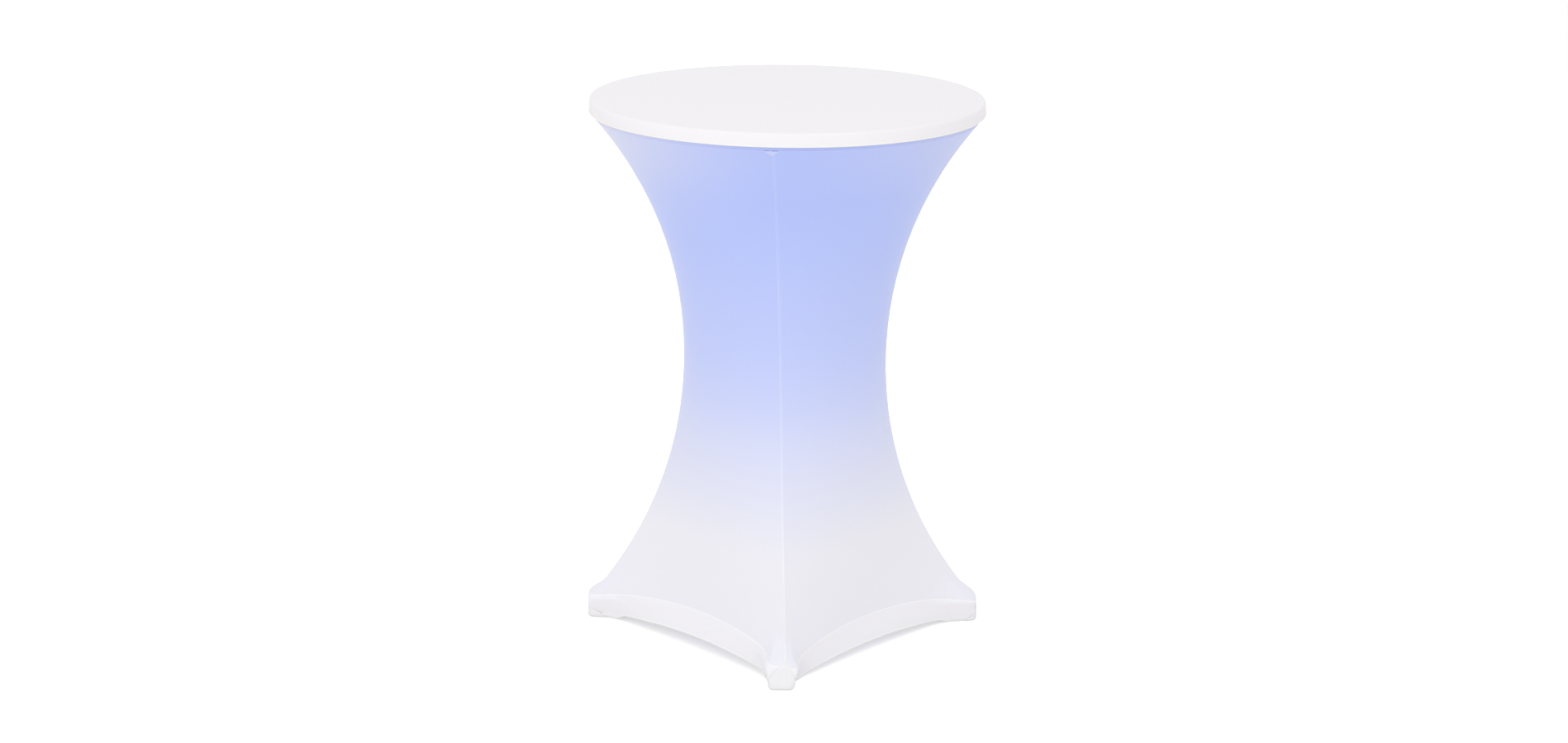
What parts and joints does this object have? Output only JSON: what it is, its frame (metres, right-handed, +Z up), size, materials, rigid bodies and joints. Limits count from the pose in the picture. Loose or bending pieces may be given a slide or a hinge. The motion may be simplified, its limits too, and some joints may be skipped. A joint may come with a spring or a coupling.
{
  "type": "light up cocktail table with stretch cover",
  "caption": "Tall round cocktail table in a tensioned stretch cover, with a cross base, a separate top cap and a battery ring lamp inside that lights the cover.",
  "frame": {"origin": "on the floor under the middle of the column", "axes": "+Z up; the four feet point along +X, +Y, -X and -Y; -Y is the front"},
  "size_m": [0.7906, 0.7906, 1.072],
  "materials": {
    "cover_knit": "stretch polyester and spandex knit, lit blue from inside",
    "pocket_knit": "doubled stretch knit over the feet",
    "cap_knit": "white stretch knit, plain",
    "elastic": "woven elastic tape",
    "plywood": "laminated birch ply, sealed",
    "vinyl_edge": "moulded vinyl bumper edge",
    "cast_plate": "cast iron, black powder coat",
    "column_steel": "steel tube, black powder coat",
    "cast_base": "cast iron, black powder coat",
    "zinc_steel": "zinc plated steel",
    "pin_steel": "stainless steel wire",
    "glide_nylon": "moulded nylon",
    "lamp_abs": "moulded ABS, fine spark texture",
    "button_abs": "moulded ABS, grey",
    "diffuser": "frosted polycarbonate, lit blue",
    "circuit_board": "glass epoxy board, white mask",
    "led_chip": "LED package, lit blue",
    "magnet": "nickel plated magnet",
    "grip_rubber": "moulded rubber",
    "contact_brass": "spring brass, plated",
    "cell_jacket": "steel can in a plain film jacket",
    "sensor_plastic": "infra-red window, dark tint"
  },
  "bodies": {
    "root": {"battery_cells": "cell_jacket", "battery_contacts": "contact_brass", "cap_elastic": "elastic", "column_tube": "column_steel", "control_board": "circuit_board", "cover_top_panel": "cover_knit", "cross_base": "cast_base", "current_pins": "contact_brass", "foot_pocket_back": "pocket_knit", "foot_pocket_front": "pocket_knit", "foot_pocket_left": "pocket_knit", "foot_pocket_right": "pocket_knit", "glide_lock_nuts": "zinc_steel", "grip_pads_fixed": "grip_rubber", "hem_facing_back_left": "cover_knit", "hem_facing_back_right": "cover_knit", "hem_facing_front_left": "cover_knit", "hem_facing_front_right": "cover_knit", "hinge_pin": "pin_steel", "lamp_diffuser_fixed": "diffuser", "lamp_housing_fixed": "lamp_abs", "lamp_magnets_fixed": "magnet", "lamp_screws_fixed": "zinc_steel", "led_board_fixed": "circuit_board", "led_chips_fixed": "led_chip", "sensor_window": "sensor_plastic", "skirt_panel_back_left": "cover_knit", "skirt_panel_back_right": "cover_knit", "skirt_panel_front_left": "cover_knit", "skirt_panel_front_right": "cover_knit", "spider_plate": "cast_plate", "spider_screws": "zinc_steel", "tabletop_board": "plywood", "tabletop_bumper": "vinyl_edge", "tie_rod": "zinc_steel", "tie_rod_nut": "zinc_steel", "tie_rod_washer": "zinc_steel", "top_cap": "cap_knit"},
    "lamp_swing_half": {"lamp_housing_swing": "lamp_abs", "lamp_diffuser_swing": "diffuser", "led_board_swing": "circuit_board", "led_chips_swing": "led_chip", "lamp_screws_swing": "zinc_steel", "lamp_magnets_swing": "magnet", "grip_pads_swing": "grip_rubber", "current_pads": "contact_brass"},
    "battery_door": {"battery_door": "lamp_abs"},
    "power_button": {"power_button": "button_abs"},
    "colour_button": {"colour_button": "button_abs"},
    "glide_foot_right": {"glide_pad_right": "glide_nylon"},
    "glide_screw_right": {"glide_stud_right": "zinc_steel"},
    "glide_foot_back": {"glide_pad_back": "glide_nylon"},
    "glide_screw_back": {"glide_stud_back": "zinc_steel"},
    "glide_foot_left": {"glide_pad_left": "glide_nylon"},
    "glide_screw_left": {"glide_stud_left": "zinc_steel"},
    "glide_foot_front": {"glide_pad_front": "glide_nylon"},
    "glide_screw_front": {"glide_stud_front": "zinc_steel"}
  },
  "joints": [
    {"name": "lamp_swing", "type": "hinge", "parent": "root", "child": "lamp_swing_half", "pos_m": [0, 0.102, 0.953], "axis": [0, 0, 1], "range_deg": [0, 75]},
    {"name": "battery_door_slide", "type": "slide", "parent": "root", "child": "battery_door", "axis": [0, 0, 1], "range_m": [0, 0.026]},
    {"name": "power_button_press", "type": "slide", "parent": "root", "child": "power_button", "axis": [1, 0, 0], "range_m": [0, 0.0012], "stiffness_N_per_m": 300},
    {"name": "colour_button_press", "type": "slide", "parent": "root", "child": "colour_button", "axis": [1, 0, 0], "range_m": [0, 0.0012], "stiffness_N_per_m": 300},
    {"name": "glide_right_rise", "type": "slide", "parent": "root", "child": "glide_foot_right", "axis": [0, 0, 1], "range_m": [0, 0.008]},
    {"name": "glide_right_turn", "type": "hinge", "parent": "glide_foot_right", "child": "glide_screw_right", "pos_m": [0.365, 0, 0.02], "axis": [0, 0, 1], "range_deg": [0, 1920]},
    {"name": "glide_back_rise", "type": "slide", "parent": "root", "child": "glide_foot_back", "axis": [0, 0, 1], "range_m": [0, 0.008]},
    {"name": "glide_back_turn", "type": "hinge", "parent": "glide_foot_back", "child": "glide_screw_back", "pos_m": [0, 0.365, 0.02], "axis": [0, 0, 1], "range_deg": [0, 1920]},
    {"name": "glide_left_rise", "type": "slide", "parent": "root", "child": "glide_foot_left", "axis": [0, 0, 1], "range_m": [0, 0.008]},
    {"name": "glide_left_turn", "type": "hinge", "parent": "glide_foot_left", "child": "glide_screw_left", "pos_m": [-0.365, 0, 0.02], "axis": [0, 0, 1], "range_deg": [0, 1920]},
    {"name": "glide_front_rise", "type": "slide", "parent": "root", "child": "glide_foot_front", "axis": [0, 0, 1], "range_m": [0, 0.008]},
    {"name": "glide_front_turn", "type": "hinge", "parent": "glide_foot_front", "child": "glide_screw_front", "pos_m": [0, -0.365, 0.02], "axis": [0, 0, 1], "range_deg": [0, 1920]}
  ],
  "couplings": [
    {"joint": "glide_right_turn", "follows": "glide_right_rise", "rad_per_m": 4188.8},
    {"joint": "glide_back_turn", "follows": "glide_back_rise", "rad_per_m": 4188.8},
    {"joint": "glide_left_turn", "follows": "glide_left_rise", "rad_per_m": 4188.8},
    {"joint": "glide_front_turn", "follows": "glide_front_rise", "rad_per_m": 4188.8}
  ]
}
